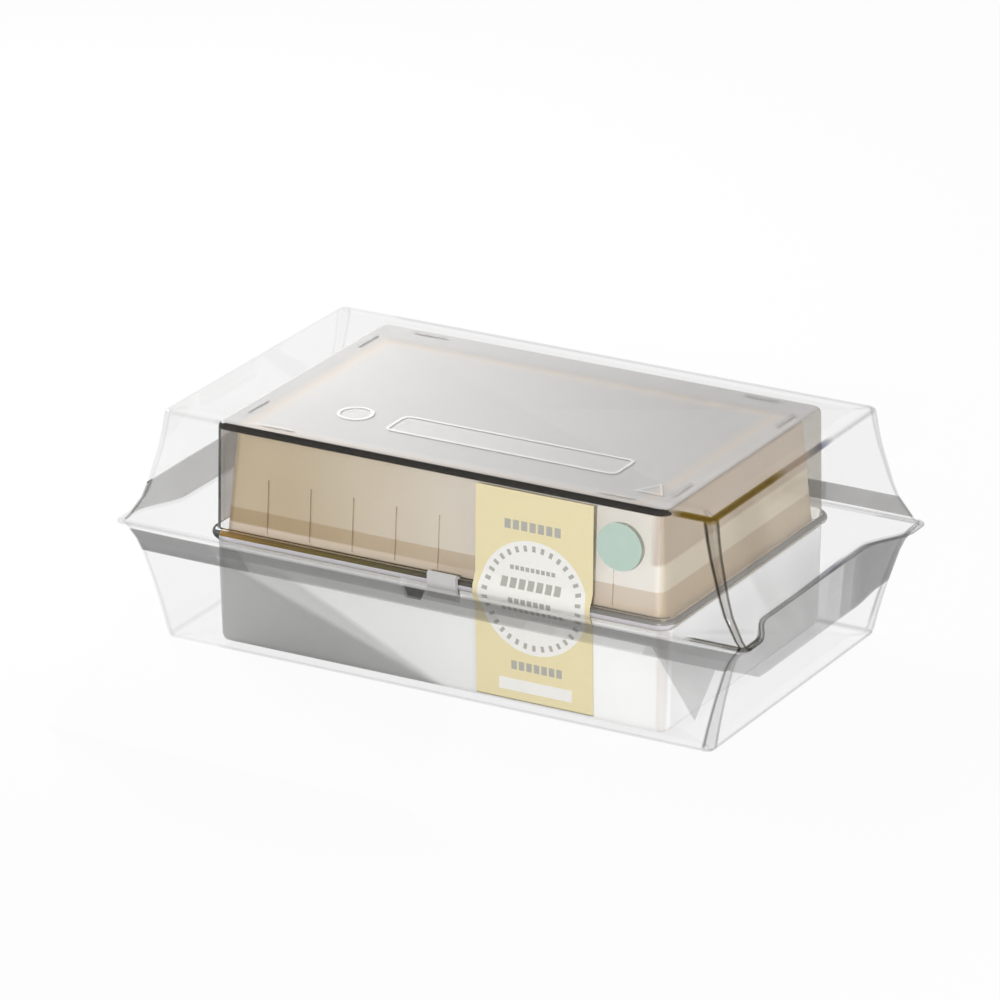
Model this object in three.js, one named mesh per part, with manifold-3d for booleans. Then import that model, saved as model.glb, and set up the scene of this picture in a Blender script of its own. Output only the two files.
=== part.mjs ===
// Sealed box of pipette tips: a hinged rack box inside a clear formed wrap.
// Millimetres, +Z up. The origin is the middle of the wrap's bottom face, +X runs along the box
// and -Y faces the front, where the latch and the label are.
import * as THREE from 'three';
import { mergeVertices } from 'three/addons/utils/BufferGeometryUtils.js';
import Module from 'manifold-3d';

const wasm = await Module();
wasm.setup();

// Clear wrap: two formed shells welded at a seam half way up.
const FILM = 0.4;
const WRAP_HEIGHT = 59.5;
const SEAM_Z = 29.8;
const SEAM_GAP = 0.3;
const PANEL = { x: 75.6, y: 43.5, radius: 2.4, edge: 0.8 };
const EAR = { x: 86.8, y: 47.9, radius: 1 };
const LIP = 1.2;
const END_BAND_X = 79.9;
const EAR_STRAIGHT = 5;
const EAR_SWEEP = 15;

// Rack box: base, lid, tip carrier and tips.
const BOX = { x: 62.5, y: 41.5, radius: 3.5, draft: 0.6 };
const BOX_BOTTOM = 0.8;
const BASE_WALL = 1.3;
const BASE_TOP = 27.6;
const COLLAR = { x: 58.4, y: 37.4, radius: 2.2, wall: 1.1, top: 36 };
const LID_BOTTOM = 27.9;
const LID_TOP = 57.9;
const LID_WALL = 1;
const LID_DRAFT = 0.5;
const BEAD = 1.4;
const NUB = { length: 9.5, width: 1.1, height: 0.35, inset: 2.3, alongX: 46.5, alongY: 26.5 };

const CARRIER = { footX: 60.4, footY: 39.6, topX: 58.5, topY: 37.5, wall: 1, radius: 2.4 };
const CARRIER_FOOT = 27.9;
const CARRIER_RIM = 54.6;
const DECK_TOP = 52.8;
const DECK = 1.5;
const GROOVE = { count: 9, pitch: 11.87, middle: -0.7, width: 0.6, depth: 0.55, bottom: 30.9, top: 44.4 };

const COLUMNS = 12;
const ROWS = 8;
const PITCH = 9;
const TIP = { sides: 6, collar: 3.5, neck: 2.55, play: 0.45, bore: 2.7, point: 0.75, orifice: 0.35 };
const WEB = { halfWidth: 0.5, thick: 0.8, belowHead: 0.6 };
const COLLAR_HEIGHT = 2.6;
const TIP_LENGTH = 51;
const REST_GAP = 0.3;
const JOIN = 0.4; // how far shapes run into each other before they become one solid
const OUTSIDE = 60; // beyond every wall of the box, where cutters start

const LABEL = { x: 26.8, width: 31.8, bottom: 2.3, top: 56, thick: 0.25, bridge: 2, round: 0.4 };
const DOT = { x: 49.7, z: 47.1, radius: 6, thick: 0.25 };

const plastic = (colour, roughness, opacity = 1) => new THREE.MeshStandardMaterial({
  color: colour,
  roughness,
  metalness: 0,
  transparent: opacity < 1,
  opacity,
});

function toSolid(geometry) {
  const bare = new THREE.BufferGeometry();
  bare.setAttribute('position', geometry.getAttribute('position'));
  bare.setIndex(geometry.getIndex());
  const merged = mergeVertices(bare, 1e-4);
  return new wasm.Manifold(new wasm.Mesh({
    numProp: 3,
    vertProperties: merged.getAttribute('position').array,
    triVerts: new Uint32Array(merged.getIndex().array),
  }));
}

function toGeometry(solid) {
  const { vertProperties, triVerts, numProp } = solid.getMesh();
  const geometry = new THREE.BufferGeometry();
  const count = vertProperties.length / numProp;
  const positions = new Float32Array(count * 3);
  for (let i = 0; i < count; i += 1) {
    positions.set(vertProperties.subarray(i * numProp, i * numProp + 3), i * 3);
  }
  geometry.setAttribute('position', new THREE.BufferAttribute(positions, 3));
  geometry.setIndex(new THREE.BufferAttribute(triVerts, 1));
  geometry.computeVertexNormals();
  return geometry;
}

function part(name, geometry, material) {
  const mesh = new THREE.Mesh(geometry, material);
  mesh.name = name;
  return mesh;
}

// A box from its lowest to its highest corner.
function block(low, high) {
  const size = high.map((value, axis) => value - low[axis]);
  const geometry = new THREE.BoxGeometry(...size);
  return geometry.translate(...low.map((value, axis) => value + size[axis] / 2));
}

// An outline in the YZ plane, extruded along X about the middle station x.
function bar(outline, x, width) {
  const shape = new THREE.Shape(outline.map(([y, z]) => new THREE.Vector2(y, z)));
  const geometry = new THREE.ExtrudeGeometry(shape, { depth: width, bevelEnabled: false });
  geometry.rotateY(Math.PI / 2).rotateX(Math.PI / 2);
  return geometry.translate(x - width / 2, 0, 0);
}

// Skins a closed body over rings of points. The first ring is closed by a face that looks down
// and the last by one that looks up, so a cup and a cover both come from one sequence of rings.
function loft(rings) {
  const sides = rings[0].length;
  const points = rings.flat();
  const index = [];
  for (let level = 0; level + 1 < rings.length; level += 1) {
    for (let i = 0; i < sides; i += 1) {
      const a = level * sides + i;
      const b = level * sides + (i + 1) % sides;
      index.push(a, b, b + sides, a, b + sides, a + sides);
    }
  }
  const middle = (ring) => ring.reduce((sum, p) => sum.add(p), new THREE.Vector3()).divideScalar(sides);
  const last = (rings.length - 1) * sides;
  const low = points.push(middle(rings[0])) - 1;
  const high = points.push(middle(rings[rings.length - 1])) - 1;
  for (let i = 0; i < sides; i += 1) {
    const next = (i + 1) % sides;
    index.push(low, next, i, high, last + i, last + next);
  }
  return new THREE.BufferGeometry().setFromPoints(points).setIndex(index);
}

// A ring of points round a rounded rectangle at one height.
const CORNER_STEPS = 4;
function ring(x, y, radius, z) {
  const points = [];
  for (const [sx, sy, start] of [[1, 1, 0], [-1, 1, 1], [-1, -1, 2], [1, -1, 3]]) {
    for (let i = 0; i <= CORNER_STEPS; i += 1) {
      const angle = (start + i / CORNER_STEPS) * Math.PI / 2;
      points.push(new THREE.Vector3(
        sx * (x - radius) + radius * Math.cos(angle),
        sy * (y - radius) + radius * Math.sin(angle),
        z,
      ));
    }
  }
  return points;
}

// The box's own outline at one height, drawn in or let out evenly all round.
const SHARPEST = 0.9;
const boxRing = (out, z) => ring(BOX.x + out, BOX.y + out, Math.max(BOX.radius + out, SHARPEST), z);

// ---- wrap ----------------------------------------------------------------------------------

const WRAP_CORNER_STEPS = 3;
const END_STATIONS = [5, 8, 11, 14, 17, 20];
const SIDE_STATIONS = [5, 14];

// One ring of the wrap. The ears reach out to x, y at the corners, while the middle of the ends
// and of the long sides stands at endX and sideY; the two are joined by a smooth sweep.
function wrapRing({ x, y, endX, sideY, radius, z }) {
  const sweep = (d) => THREE.MathUtils.smoothstep(d, EAR_STRAIGHT, EAR_STRAIGHT + EAR_SWEEP);
  const quarter = [];
  const alongEnd = END_STATIONS.slice().reverse();
  for (const d of alongEnd) {
    quarter.push([x - (x - endX) * sweep(d), y - radius - d]);
  }
  for (let i = 0; i <= WRAP_CORNER_STEPS; i += 1) {
    const angle = i / WRAP_CORNER_STEPS * Math.PI / 2;
    quarter.push([x - radius + radius * Math.cos(angle), y - radius + radius * Math.sin(angle)]);
  }
  for (const d of SIDE_STATIONS) {
    quarter.push([x - radius - d, y - (y - sideY) * sweep(d + EAR_STRAIGHT)]);
  }
  const back = quarter.slice().reverse();
  const outline = [
    ...quarter,
    ...back.map(([px, py]) => [-px, py]),
    ...quarter.map(([px, py]) => [-px, -py]),
    ...back.map(([px, py]) => [px, -py]),
  ];
  return outline.map(([px, py]) => new THREE.Vector3(px, py, z));
}

// The size of the wrap at a height, as far as the seam's lip. u runs from 0 at the flat panel
// to 1 at the seam. The corners lean out and then flick into ears close to the seam, the long
// sides turn out at their crease, and the ends stand upright beyond theirs.
const EAR_FLICK = { share: 0.25, power: 11 };
const CREASE_SHARE = 0.45;
function wrapLevel(u, z, { flare, sideCrease, endCrease }) {
  const { lerp } = THREE.MathUtils;
  const bend = (1 - EAR_FLICK.share) * u ** flare + EAR_FLICK.share * u ** EAR_FLICK.power;
  const sideAtCrease = lerp(PANEL.y, EAR.y, CREASE_SHARE);
  return {
    x: lerp(PANEL.x, EAR.x - LIP, bend),
    y: lerp(PANEL.y, EAR.y - LIP, bend),
    endX: lerp(PANEL.x, END_BAND_X, Math.min(u / endCrease, 1)),
    sideY: u < sideCrease
      ? lerp(PANEL.y, sideAtCrease, u / sideCrease)
      : lerp(sideAtCrease, EAR.y - LIP, (u - sideCrease) / (1 - sideCrease)),
    radius: lerp(PANEL.radius, EAR.radius, u),
    z,
  };
}

const inset = (level, by) => ({
  x: level.x - by,
  y: level.y - by,
  endX: level.endX - by,
  sideY: level.sideY - by,
  radius: Math.max(level.radius - by, REST_GAP),
  z: level.z,
});

// One shell of the wrap. panelZ is its flat face and sign is +1 where that face looks up.
function wrapShell(panelZ, sign, form) {
  const seamFace = SEAM_Z + sign * SEAM_GAP / 2;
  const seamBack = seamFace + sign * FILM;
  const height = Math.abs(panelZ - seamBack);
  const panel = wrapLevel(0, panelZ, form);
  const { sideCrease, endCrease } = form;
  const shares = [endCrease / 2, endCrease, sideCrease, (1 + sideCrease) / 2];
  const outer = [
    inset(panel, PANEL.edge),
    { ...panel, z: panelZ - sign * PANEL.edge },
    ...shares.map((u) => wrapLevel(u, panelZ - sign * height * u, form)),
    wrapLevel(1, seamBack, form),
  ];
  const foot = outer[outer.length - 1];
  const edge = inset(foot, -LIP);
  const inner = outer.map((level) => inset(level, FILM));
  inner[0].z -= sign * FILM;
  inner[inner.length - 1].z = seamFace;
  const levels = [
    ...inner,
    { ...edge, z: seamFace },
    edge,
    ...outer.slice().reverse(),
  ];
  if (sign < 0) levels.reverse();
  return loft(levels.map(wrapRing));
}

const UPPER_FORM = { flare: 1.5, sideCrease: 0.82, endCrease: 0.66 };
const LOWER_FORM = { flare: 1.2, sideCrease: 0.78, endCrease: 0.5 };

function upperShell() {
  return part('wrap_upper_shell', wrapShell(WRAP_HEIGHT, 1, UPPER_FORM), plastic(0xf2f3f3, 0.08, 0.25));
}

function lowerShell() {
  return part('wrap_lower_shell', wrapShell(0, -1, LOWER_FORM), plastic(0xf2f3f3, 0.08, 0.25));
}

// ---- box base ------------------------------------------------------------------------------

const LATCH = { x: 3, halfWidth: 3.9, front: -44.5, root: 24.1, top: 32.3, bite: 0.6, bevel: 0.6 };
const WINDOW = { left: -10.1, right: -3, bottom: 25.1, depth: 0.7 };
const NOTCH = { bottom: 22.9, slope: 1.4, side: 0.3, reach: 3 };
const HINGE = { x: 36, halfWidth: 6, cheek: 1.4, axisY: 43.1, axisZ: 26.6, pin: 0.8, lug: 1.4, gusset: 4.5 };
const FOOT = { chamfer: 1.9, knee: 0.6, rise: 2 };

// Points of an arc in the YZ plane about a centre, with its angles in degrees.
function arc([y, z], radius, from, to, steps) {
  return Array.from({ length: steps + 1 }, (_, i) => {
    const angle = THREE.MathUtils.degToRad(THREE.MathUtils.lerp(from, to, i / steps));
    return [y + radius * Math.cos(angle), z + radius * Math.sin(angle)];
  });
}

// A snap tongue that stands off the front wall and hooks over the lid's bead.
function latchTongue() {
  const { front, root, top, bite, bevel } = LATCH;
  const wall = -BOX.y + JOIN;
  const back = -(BOX.y + BEAD + REST_GAP);
  const shelf = BASE_TOP - bevel;
  const hook = LID_BOTTOM + 2 * BEAD + REST_GAP;
  const lip = -(BOX.y + bite);
  const outline = [
    [wall, root],
    [wall, shelf],
    [back, shelf],
    [back, hook],
    [lip, hook],
    [lip, hook + REST_GAP],
    [front + bevel, top],
    [front, top - bevel],
    [front, root + FOOT.rise],
  ];
  return bar(outline, LATCH.x, 2 * LATCH.halfWidth);
}

// The notch under the latch window, where a finger nail lifts the lid.
function latchNotch() {
  const { bottom, slope, side, reach } = NOTCH;
  const top = WINDOW.bottom + side;
  const shape = new THREE.Shape([
    new THREE.Vector2(WINDOW.left + side, top),
    new THREE.Vector2(WINDOW.left + slope, bottom),
    new THREE.Vector2(WINDOW.right - slope, bottom),
    new THREE.Vector2(WINDOW.right - side, top),
  ]);
  const geometry = new THREE.ExtrudeGeometry(shape, { depth: 2 * reach, bevelEnabled: false });
  return geometry.rotateX(Math.PI / 2).translate(0, reach - BOX.y, 0);
}

// Two cheeks and a moulded pin, on which one of the lid's clips turns.
function hingeLug(x) {
  const { halfWidth, cheek, axisY, axisZ, pin, lug, gusset } = HINGE;
  const nose = arc([axisY, axisZ], lug, -60, 40, 4);
  const wall = BOX.y - JOIN;
  const outline = [[wall, axisZ - gusset], ...nose, [wall, nose[nose.length - 1][1]]];
  const span = halfWidth - cheek / 2;
  const bolt = new THREE.CylinderGeometry(pin, pin, 2 * span, 10);
  bolt.rotateZ(Math.PI / 2).translate(x, axisY, axisZ);
  return toSolid(bar(outline, x - span, cheek))
    .add(toSolid(bar(outline, x + span, cheek)))
    .add(toSolid(bolt));
}

function boxBase() {
  const low = (inward, z) => boxRing(-BOX.draft - inward, z);
  const collar = (inward, z) => ring(COLLAR.x - inward, COLLAR.y - inward, COLLAR.radius - inward, z);
  const floor = BOX_BOTTOM + BASE_WALL;
  const shelf = BASE_TOP - BASE_WALL;
  let solid = toSolid(loft([
    low(FOOT.chamfer, BOX_BOTTOM),
    low(FOOT.knee, BOX_BOTTOM + FOOT.knee),
    low(0, BOX_BOTTOM + FOOT.rise),
    boxRing(0, BASE_TOP),
    collar(0, BASE_TOP),
    collar(0, COLLAR.top),
    collar(COLLAR.wall, COLLAR.top),
    collar(COLLAR.wall, shelf),
    boxRing(-BASE_WALL, shelf - BASE_WALL),
    low(BASE_WALL, floor + FOOT.rise),
    low(BASE_WALL + FOOT.chamfer, floor),
  ]));
  solid = solid.add(toSolid(latchTongue()));
  solid = solid.add(hingeLug(HINGE.x)).add(hingeLug(-HINGE.x));
  const face = -BOX.y + WINDOW.depth;
  const opening = block([WINDOW.left, -OUTSIDE, WINDOW.bottom], [WINDOW.right, face, BASE_TOP + JOIN]);
  solid = solid.subtract(toSolid(opening));
  solid = solid.subtract(toSolid(latchNotch()));
  return part('box_base', toGeometry(solid), plastic(0xe4e4e3, 0.4));
}

// ---- box lid -------------------------------------------------------------------------------

const LID_FILLET = { edge: 1.6, half: 0.45 };
const CLIP_WALL = 0.8;

// A clip that hangs from the bead and wraps the base's hinge pin, open towards the box.
function hingeClip(x) {
  const { halfWidth, cheek, axisY, axisZ, pin } = HINGE;
  const axis = [axisY, axisZ];
  const inside = pin + REST_GAP;
  const top = LID_BOTTOM + BEAD;
  const outline = [
    [BOX.y - JOIN, top],
    [BOX.y - JOIN, LID_BOTTOM + JOIN],
    ...arc(axis, inside, 110, -70, 6),
    ...arc(axis, inside + CLIP_WALL, -70, 80, 6),
    [axisY - JOIN, top],
  ];
  return toSolid(bar(outline, x, 2 * (halfWidth - cheek - REST_GAP)));
}

function lidNubs() {
  const { length, width, height, inset: inward, alongX, alongY } = NUB;
  const edgeX = BOX.x - LID_DRAFT - inward;
  const edgeY = BOX.y - LID_DRAFT - inward;
  const nubs = [];
  for (const sx of [-1, 1]) {
    for (const sy of [-1, 1]) {
      nubs.push([sx * (edgeX - width / 2), sy * alongY, width, length]);
      nubs.push([sx * alongX, sy * (edgeY - width / 2), length, width]);
    }
  }
  return nubs.map(([x, y, sizeX, sizeY]) => block(
    [x - sizeX / 2, y - sizeY / 2, LID_TOP - JOIN],
    [x + sizeX / 2, y + sizeY / 2, LID_TOP + height],
  ));
}

// Plain raised outlines on the lid: a bare name panel, a ring beside it and a small triangle.
const RAISED = { height: 0.25, line: 0.8 };
const NAME_PANEL = { x: 8.2, y: -20.3, halfX: 31.8, halfY: 5.5 };
const ROUND_MARK = { x: -34.8, y: -19.6, radius: 4.6, sides: 20 };
const TRIANGLE_MARK = { x: 52.5, y: -30.2, radius: 4.4 };

function raisedOutline(outside, hole) {
  const shape = new THREE.Shape(outside);
  shape.holes.push(new THREE.Path(hole));
  const depth = RAISED.height + JOIN;
  const geometry = new THREE.ExtrudeGeometry(shape, { depth, bevelEnabled: false });
  return geometry.translate(0, 0, LID_TOP - JOIN);
}

function raisedMarks() {
  const { line } = RAISED;
  const corners = ({ x, y, halfX, halfY }, inward) => [[-1, -1], [1, -1], [1, 1], [-1, 1]].map(
    ([sx, sy]) => new THREE.Vector2(x + sx * (halfX - inward), y + sy * (halfY - inward)),
  );
  const round = ({ x, y, radius, sides = 3 }, inward) => Array.from({ length: sides }, (_, i) => {
    const angle = 2 * Math.PI * i / sides + Math.PI / 2;
    const reach = radius - inward;
    return new THREE.Vector2(x + reach * Math.cos(angle), y + reach * Math.sin(angle));
  });
  return [
    raisedOutline(corners(NAME_PANEL, 0), corners(NAME_PANEL, line)),
    raisedOutline(round(ROUND_MARK, 0), round(ROUND_MARK, line)),
    raisedOutline(round(TRIANGLE_MARK, 0), round(TRIANGLE_MARK, 2 * line)),
  ];
}

function boxLid() {
  const inside = LID_TOP - LID_WALL;
  const beadMid = LID_BOTTOM + BEAD;
  const roll = BEAD * Math.SQRT1_2;
  const top = (inward, z) => boxRing(-LID_DRAFT - inward, z);
  const { edge, half } = LID_FILLET;
  let solid = toSolid(loft([
    top(LID_WALL + edge, inside),
    top(LID_WALL, inside - edge),
    boxRing(-LID_WALL, LID_BOTTOM),
    boxRing(JOIN, LID_BOTTOM),
    boxRing(roll, beadMid - roll),
    boxRing(BEAD, beadMid),
    boxRing(roll, beadMid + roll),
    boxRing(0, beadMid + BEAD),
    top(0, LID_TOP - edge),
    top(half, LID_TOP - half),
    top(edge, LID_TOP),
  ]));
  solid = solid.add(hingeClip(HINGE.x)).add(hingeClip(-HINGE.x));
  for (const raised of [...lidNubs(), ...raisedMarks()]) {
    solid = solid.add(toSolid(raised));
  }
  return part('box_lid', toGeometry(solid), plastic(0xcfcfcf, 0.15, 0.5));
}

// ---- tip carrier and tips --------------------------------------------------------------------

const columnX = (column) => (column - (COLUMNS - 1) / 2) * PITCH;
const rowY = (row) => (row - (ROWS - 1) / 2) * PITCH;

// Corners of a tip's or a hole's six-sided section.
function sixSides(x, y, radius) {
  return Array.from({ length: TIP.sides }, (_, i) => {
    const angle = (i + 0.5) * 2 * Math.PI / TIP.sides;
    return new THREE.Vector2(x + radius * Math.sin(angle), y + radius * Math.cos(angle));
  });
}

function carrierDeck() {
  const { topX, topY, radius, wall } = CARRIER;
  const edge = ring(topX - wall / 2, topY - wall / 2, radius - wall / 2, 0);
  const shape = new THREE.Shape(edge.map((p) => new THREE.Vector2(p.x, p.y)));
  const holeRadius = TIP.neck + TIP.play;
  for (let column = 0; column < COLUMNS; column += 1) {
    for (let row = 0; row < ROWS; row += 1) {
      shape.holes.push(new THREE.Path(sixSides(columnX(column), rowY(row), holeRadius)));
    }
  }
  const geometry = new THREE.ExtrudeGeometry(shape, { depth: DECK, bevelEnabled: false });
  return geometry.translate(0, 0, DECK_TOP - DECK);
}

// The carrier's tapered skirt, as a plain tube open at both ends. It stands up past the deck as
// a low rim round the tips' collars.
function carrierSkirt() {
  const { footX, footY, topX, topY, wall, radius } = CARRIER;
  const bevel = wall / 2;
  const outside = loft([
    ring(footX, footY, radius, CARRIER_FOOT),
    ring(topX, topY, radius, CARRIER_RIM - bevel),
    ring(topX - bevel, topY - bevel, radius - bevel, CARRIER_RIM),
  ]);
  const inside = loft([
    ring(footX - wall, footY - wall, radius - wall, CARRIER_FOOT - JOIN),
    ring(topX - wall, topY - wall, radius - wall, CARRIER_RIM + JOIN),
  ]);
  return toSolid(outside).subtract(toSolid(inside));
}

// An upright groove in one long wall of the skirt, cut to an even depth down its slope. side is
// -1 for the front wall and 1 for the back wall.
function skirtGroove(x, side) {
  const { width, depth, bottom, top } = GROOVE;
  const { footY, topY } = CARRIER;
  const wallY = (z) => THREE.MathUtils.mapLinear(z, CARRIER_FOOT, CARRIER_RIM, footY, topY);
  const outline = [
    [side * (wallY(bottom) - depth), bottom],
    [side * (wallY(top) - depth), top],
    [side * OUTSIDE, top],
    [side * OUTSIDE, bottom],
  ];
  return bar(outline, x, width);
}

function tipCarrier() {
  const { count, pitch, middle } = GROOVE;
  let solid = carrierSkirt().add(toSolid(carrierDeck()));
  for (let i = 0; i < count; i += 1) {
    const x = middle + (i - (count - 1) / 2) * pitch;
    solid = solid.subtract(toSolid(skirtGroove(x, -1)));
    solid = solid.subtract(toSolid(skirtGroove(x, 1)));
  }
  return part('tip_carrier', toGeometry(solid), plastic(0xe3cfae, 0.45));
}

// One hollow tip: a collar that rests on the deck, a long taper and a bore right through.
function tipBody() {
  const collarFoot = DECK_TOP + REST_GAP;
  const head = collarFoot + COLLAR_HEIGHT;
  const end = head - TIP_LENGTH;
  const profile = [
    [TIP.orifice, end],
    [TIP.point, end],
    [TIP.neck, collarFoot],
    [TIP.collar, collarFoot],
    [TIP.collar, head],
    [TIP.bore, head],
    [TIP.orifice, end],
  ].map(([radius, z]) => new THREE.Vector2(radius, z));
  const turn = Math.PI / TIP.sides;
  return new THREE.LatheGeometry(profile, TIP.sides, turn).rotateX(Math.PI / 2);
}

// The eight tips of one column. A thin web at collar height joins each to the next.
function tipColumn(column) {
  const x = columnX(column);
  const webTop = DECK_TOP + REST_GAP + COLLAR_HEIGHT - WEB.belowHead;
  const flat = TIP.collar * Math.cos(Math.PI / TIP.sides) - JOIN;
  let solid = null;
  for (let row = 0; row < ROWS; row += 1) {
    const tip = toSolid(tipBody().translate(x, rowY(row), 0));
    solid = solid ? solid.add(tip) : tip;
    if (row > 0) {
      const low = [x - WEB.halfWidth, rowY(row - 1) + flat, webTop - WEB.thick];
      const high = [x + WEB.halfWidth, rowY(row) - flat, webTop];
      solid = solid.add(toSolid(block(low, high)));
    }
  }
  const name = `tip_column_${String(column + 1).padStart(2, '0')}`;
  return part(name, toGeometry(solid), plastic(0xe9eaea, 0.3));
}

// ---- stickers --------------------------------------------------------------------------------

// The paper label runs up the base, over the lid's bead and up the lid, so it seals the lid shut.
function frontLabel() {
  const { x, width, bottom, top, thick, bridge, round } = LABEL;
  const wall = BOX.y + REST_GAP;
  const beadTop = LID_BOTTOM + 2 * BEAD;
  const path = [
    [wall - BOX.draft, bottom],
    [wall, BASE_TOP - bridge],
    [wall + BEAD, LID_BOTTOM + round],
    [wall + BEAD, beadTop - round],
    [wall, beadTop + bridge],
    [wall - LID_DRAFT, top],
  ];
  const back = path.map(([y, z]) => [-y, z]);
  const front = path.map(([y, z]) => [-y - thick, z]).reverse();
  return part('front_label', bar([...back, ...front], x, width), plastic(0xe3d8a2, 0.6));
}

function indicatorDot() {
  const geometry = new THREE.CylinderGeometry(DOT.radius, DOT.radius, DOT.thick, 24);
  geometry.translate(DOT.x, -(BOX.y + REST_GAP), DOT.z);
  return part('indicator_dot', geometry, plastic(0xb4ccc0, 0.6));
}

const box = new THREE.Group();
box.add(boxBase(), boxLid(), tipCarrier(), frontLabel(), indicatorDot());
for (let column = 0; column < COLUMNS; column += 1) {
  box.add(tipColumn(column));
}

const model = new THREE.Group();
model.add(lowerShell(), upperShell(), box);

export default model;
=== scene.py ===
"""Sealed box of pipette tips: a hinged rack box of 96 tips inside a clear formed wrap."""
import math

import bmesh
import bpy
from mathutils import Matrix, Vector


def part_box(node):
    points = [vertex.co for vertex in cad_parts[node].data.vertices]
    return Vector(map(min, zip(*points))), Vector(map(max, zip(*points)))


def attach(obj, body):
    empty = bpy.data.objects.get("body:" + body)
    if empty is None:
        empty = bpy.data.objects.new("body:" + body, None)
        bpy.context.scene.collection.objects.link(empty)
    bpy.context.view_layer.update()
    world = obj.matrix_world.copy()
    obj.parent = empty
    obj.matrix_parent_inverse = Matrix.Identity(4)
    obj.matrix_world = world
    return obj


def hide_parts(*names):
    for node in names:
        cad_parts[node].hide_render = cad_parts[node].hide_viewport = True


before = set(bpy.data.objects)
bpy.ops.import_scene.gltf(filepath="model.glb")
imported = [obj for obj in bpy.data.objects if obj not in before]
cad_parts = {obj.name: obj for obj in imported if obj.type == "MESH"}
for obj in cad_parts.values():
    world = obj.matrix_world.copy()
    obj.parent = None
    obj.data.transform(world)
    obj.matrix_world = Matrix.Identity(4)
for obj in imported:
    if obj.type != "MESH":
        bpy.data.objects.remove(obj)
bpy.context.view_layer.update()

# ---- clear wrap ------------------------------------------------------------------------------
# Two shells of clear polyester film, vacuum formed and welded lip to lip half way up the pack.
# The lines along its panel edges and corners, where the film is drawn tightest, are painted
# reflection, and so is the mottled grey beside the weld on some sides.

MM = 0.001
FILM = 0.3 * MM
WELD_GAP = 0.03 * MM
LIP = 1.2 * MM
PANEL_EDGE = 1.3 * MM
PANEL_CORNER = 2.4 * MM
PANEL_INSET = Vector((11.2, 4.4)) * MM
EAR_CORNER = 1.0 * MM
EAR_STRAIGHT = 5 * MM
EAR_SWEEP = 15 * MM
END_BAND_INSET = 6.9 * MM
TIGHTEST_CORNER = 0.3 * MM
LIP_LINE = 0.3 * MM
ARC_STEPS = 6
FILLET_STEPS = 6

# The share of an ear's reach that comes in its last flick, and how sudden the flick is.
EAR_FLICK = 0.25
FLICK_POWER = 11

# The share of its lean that a long side has reached at the crease.
CREASE_LEAN = 0.45

# Creases are shares of the way from the panel to the weld; bands are millimetres from the weld.
UPPER_FORM = {"flare": 1.5, "side_crease": 0.79, "end_crease": 0.66, "band": (1.4,)}
LOWER_FORM = {"flare": 1.2, "side_crease": 0.768, "end_crease": 0.5, "band": (1.8, 4.4)}

# Distances from a corner's arc at which the ring has a point, along the ends and the long sides.
END_POINTS = [d * MM for d in (36, 28, 22, 20, 18, 16, 14, 12, 10, 8, 6, 4, 2, 0.6)]
SIDE_POINTS = [d * MM for d in (0.6, 3, 6, 9, 12, 15, 22, 30, 38, 46, 54, 62)]

# The signs of X and Y in the four quarters of an outline, anticlockwise.
QUARTERS = ((1, 1), (-1, 1), (-1, -1), (1, -1))

upper_low, upper_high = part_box("wrap_upper_shell")
lower_low, lower_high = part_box("wrap_lower_shell")
ear = Vector(upper_high.xy)
panel = ear - PANEL_INSET
weld = (upper_low.z + lower_high.z) / 2


def smoothstep(low, high, value):
    share = min(max((value - low) / (high - low), 0), 1)
    return share * share * (3 - 2 * share)


def mix(a, b, share):
    return a + (b - a) * share


def linear(hex_colour):
    """An sRGB hex colour as linear RGBA."""
    values = [int(hex_colour[i:i + 2], 16) / 255 for i in (1, 3, 5)]
    return [v / 12.92 if v <= 0.04045 else ((v + 0.055) / 1.055) ** 2.4 for v in values] + [1]


def wrap_level(u, form):
    """Half sizes of the wrap at share u of the way from the panel to the weld."""
    bend = (1 - EAR_FLICK) * u ** form["flare"] + EAR_FLICK * u ** FLICK_POWER
    foot = ear - Vector((LIP, LIP))
    at_crease = mix(panel.y, ear.y, CREASE_LEAN)
    crease = form["side_crease"]
    if u < crease:
        side = mix(panel.y, at_crease, u / crease)
    else:
        side = mix(at_crease, foot.y, (u - crease) / (1 - crease))
    return {
        "half": panel + (foot - panel) * bend,
        "end": mix(panel.x, ear.x - END_BAND_INSET, min(u / form["end_crease"], 1)),
        "side": side,
        "corner": mix(PANEL_CORNER, EAR_CORNER, u),
    }


def grown(level, by):
    """The same level let out evenly, or taken in where by is negative."""
    return {
        "half": level["half"] + Vector((by, by)),
        "end": level["end"] + by,
        "side": level["side"] + by,
        "corner": max(level["corner"] + by, TIGHTEST_CORNER),
    }


def wrap_quarter(level):
    """Points of the quarter with +X and +Y, from the end to the long side, with line weights."""
    half, corner = level["half"], level["corner"]
    points = []
    for d in END_POINTS:
        pull = smoothstep(EAR_STRAIGHT, EAR_STRAIGHT + EAR_SWEEP, d)
        points.append((mix(half.x, level["end"], pull), half.y - corner - d, 0))
    for i in range(ARC_STEPS + 1):
        angle = i / ARC_STEPS * math.pi / 2
        points.append((
            half.x - corner + corner * math.cos(angle),
            half.y - corner + corner * math.sin(angle),
            1 if i in (0, ARC_STEPS) else 0.2,
        ))
    for d in SIDE_POINTS:
        pull = smoothstep(0, EAR_SWEEP, d)
        points.append((half.x - corner - d, mix(half.y, level["side"], pull), 0))
    return points


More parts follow.
